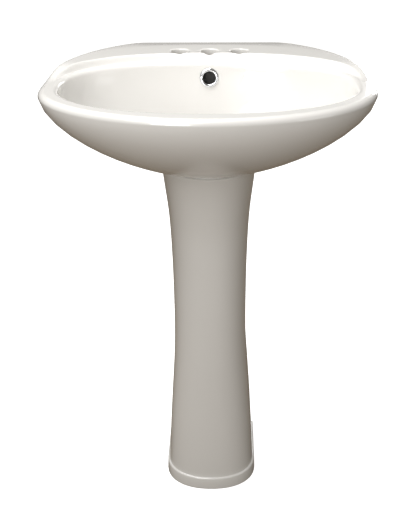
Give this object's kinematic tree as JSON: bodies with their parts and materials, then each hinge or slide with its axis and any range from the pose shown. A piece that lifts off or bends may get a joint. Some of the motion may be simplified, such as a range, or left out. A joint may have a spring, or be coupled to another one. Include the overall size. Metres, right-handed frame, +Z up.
{
  "type": "pedestal sink",
  "caption": "White vitreous china pedestal sink: oval basin with a raised ledge and tap holes, overflow ring, push-open waste and a P-trap inside a hollow pedestal.",
  "frame": {"origin": "on the floor under the middle of the basin's bounding box", "axes": "+Z up from the floor, +Y towards the wall, +X to the right as seen from the front"},
  "size_m": [0.5202, 0.4099, 0.811],
  "materials": {
    "china": "gloss",
    "chrome": "polished",
    "rubber": "matte",
    "brass": "satin",
    "white_plastic": "satin"
  },
  "bodies": {
    "fixture": {"basin": "china", "pedestal": "china", "overflow_ring": "chrome", "drain_body": "chrome", "flange_gasket": "rubber", "boss_gasket": "rubber", "boss_washer": "white_plastic", "drain_locknut": "brass", "stopper_cartridge": "white_plastic", "tailpiece": "chrome", "trap_inlet_washer": "rubber", "trap_inlet_nut": "chrome", "j_bend": "chrome", "union_washer": "rubber", "union_nut": "chrome", "trap_arm": "chrome", "cleanout_plug": "brass", "wall_escutcheon": "chrome"},
    "stopper": {"stopper_cap": "chrome", "stopper_seal": "rubber", "stopper_stem": "brass"}
  },
  "joints": [
    {"name": "stopper_press", "type": "slide", "parent": "fixture", "child": "stopper", "axis": [0, 0, 1], "range_m": [0, 0.009]}
  ]
}
